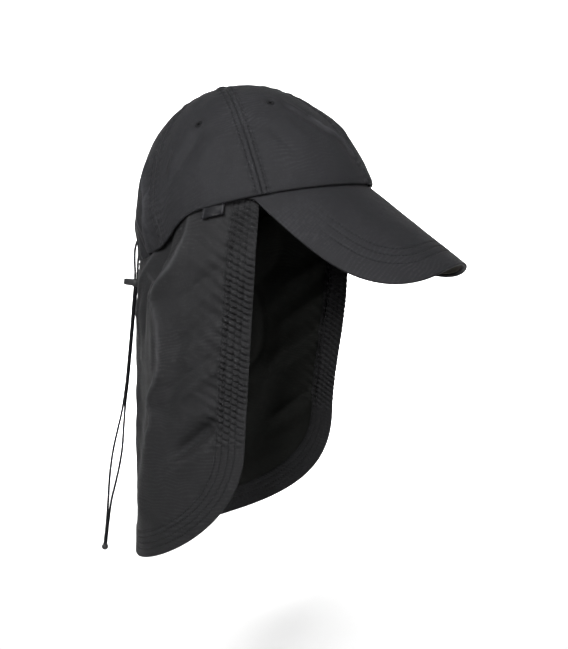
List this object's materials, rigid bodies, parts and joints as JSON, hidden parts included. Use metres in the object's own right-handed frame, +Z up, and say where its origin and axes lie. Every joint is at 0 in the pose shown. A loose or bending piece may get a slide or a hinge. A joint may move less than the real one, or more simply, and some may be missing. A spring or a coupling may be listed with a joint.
{
  "type": "hiking cap",
  "caption": "Six-panel hiking cap with an arched peak, a long gathered-hem neck flap, a side label and a drawcord with stopper and bead at the back.",
  "frame": {"origin": "the centre of the crown's opening at the height of the front-to-back rim line, where a head carries the cap", "axes": "+Z up, -Y out along the peak, +X the wearer's left; the crown leans back by 14 degrees and the flap hangs straight down, as when worn"},
  "size_m": [0.1856, 0.3248, 0.4017],
  "materials": {
    "crown_cloth": "fine plain-woven microfibre, matt with a faint sheen",
    "peak_cloth": "the same cloth drawn flat over a stiff peak, with three rows of stitching",
    "peak_lining": "dull dark cloth with an olive cast under the peak",
    "flap_cloth": "light plain-woven microfibre, softly creased",
    "label_tape": "folded woven tape, slightly glossy",
    "cord_elastic": "braided round elastic",
    "cord_plastic": "moulded plastic, satin"
  },
  "bodies": {
    "root": {"crown_panel_front_right": "crown_cloth", "crown_panel_side_right": "crown_cloth", "crown_panel_back_right": "crown_cloth", "crown_panel_back_left": "crown_cloth", "crown_panel_side_left": "crown_cloth", "crown_panel_front_left": "crown_cloth", "top_button": "crown_cloth", "peak_upper": "peak_cloth", "peak_under": "peak_lining", "flap_hem": "flap_cloth", "neck_flap": "flap_cloth", "side_label": "label_tape", "cord_strand_right": "cord_elastic", "cord_strand_left": "cord_elastic", "cord_stopper": "cord_plastic", "cord_end_bead": "cord_plastic"}
  },
  "joints": []
}
